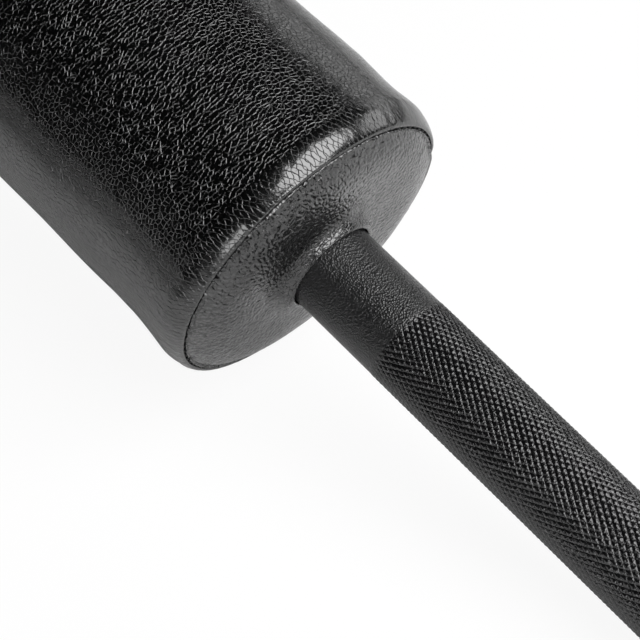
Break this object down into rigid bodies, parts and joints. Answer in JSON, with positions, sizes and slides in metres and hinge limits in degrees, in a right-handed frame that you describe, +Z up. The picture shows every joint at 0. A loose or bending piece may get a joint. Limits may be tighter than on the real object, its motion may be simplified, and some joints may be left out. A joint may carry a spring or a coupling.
{
  "type": "safety squat bar",
  "caption": "Cambered yoke barbell with padded shoulder horns, knurled front handles and turning plate sleeves, lying at rest on its stop collars and handle tips.",
  "frame": {"origin": "bottom centre of the whole bar as it lies on the floor, under the middle of the shaft", "axes": "+X along the bar to its right end, the two handles point to -Y, +Z up; the bar leans 18 degrees, as it does when its stop collars and handle tips touch the floor"},
  "size_m": [2.3108, 0.4031, 0.1768],
  "materials": {
    "frame_coat": "black powder coat with a fine orange-peel texture",
    "pad_leather": "black synthetic leather with a glossy pebble grain",
    "pad_foam": "dark grey closed-cell foam",
    "hook_nylon": "black woven hook tape",
    "plug_plastic": "matt moulded black plastic",
    "turned_steel": "turned and ground steel",
    "sleeve_chrome": "hard chrome over turned steel",
    "bearing_bronze": "oiled sintered bronze",
    "spring_steel": "phosphated spring steel",
    "seal_rubber": "matt black rubber"
  },
  "bodies": {
    "frame": {"main_tube": "frame_coat", "neck_pad_foam": "pad_foam", "neck_pad_wrap": "pad_leather", "neck_pad_hook_tape": "hook_nylon", "neck_pad_flap": "pad_leather", "neck_pad_left_panel": "pad_leather", "neck_pad_right_panel": "pad_leather", "left_horn": "frame_coat", "right_horn": "frame_coat", "left_handle_plug": "plug_plastic", "right_handle_plug": "plug_plastic", "left_pad_foam": "pad_foam", "right_pad_foam": "pad_foam", "left_pad_wrap": "pad_leather", "right_pad_wrap": "pad_leather", "left_pad_panel": "pad_leather", "right_pad_panel": "pad_leather", "left_spindle": "turned_steel", "right_spindle": "turned_steel", "left_inner_washer": "bearing_bronze", "right_inner_washer": "bearing_bronze", "left_outer_washer": "bearing_bronze", "right_outer_washer": "bearing_bronze", "left_journal_ring": "spring_steel", "right_journal_ring": "spring_steel"},
    "left_turning_sleeve": {"left_sleeve": "sleeve_chrome", "left_stop_collar": "sleeve_chrome", "left_seal": "seal_rubber", "left_inner_bushing": "bearing_bronze", "left_outer_bushing": "bearing_bronze", "left_end_cap": "turned_steel", "left_cap_ring": "spring_steel"},
    "right_turning_sleeve": {"right_sleeve": "sleeve_chrome", "right_stop_collar": "sleeve_chrome", "right_seal": "seal_rubber", "right_inner_bushing": "bearing_bronze", "right_outer_bushing": "bearing_bronze", "right_end_cap": "turned_steel", "right_cap_ring": "spring_steel"}
  },
  "joints": [
    {"name": "left_sleeve_spin", "type": "hinge", "parent": "frame", "child": "left_turning_sleeve", "pos_m": [-0.95, 0.14816, 0.038], "axis": [-1, 0, 0], "continuous": true},
    {"name": "right_sleeve_spin", "type": "hinge", "parent": "frame", "child": "right_turning_sleeve", "pos_m": [0.95, 0.14816, 0.038], "axis": [1, 0, 0], "continuous": true}
  ]
}
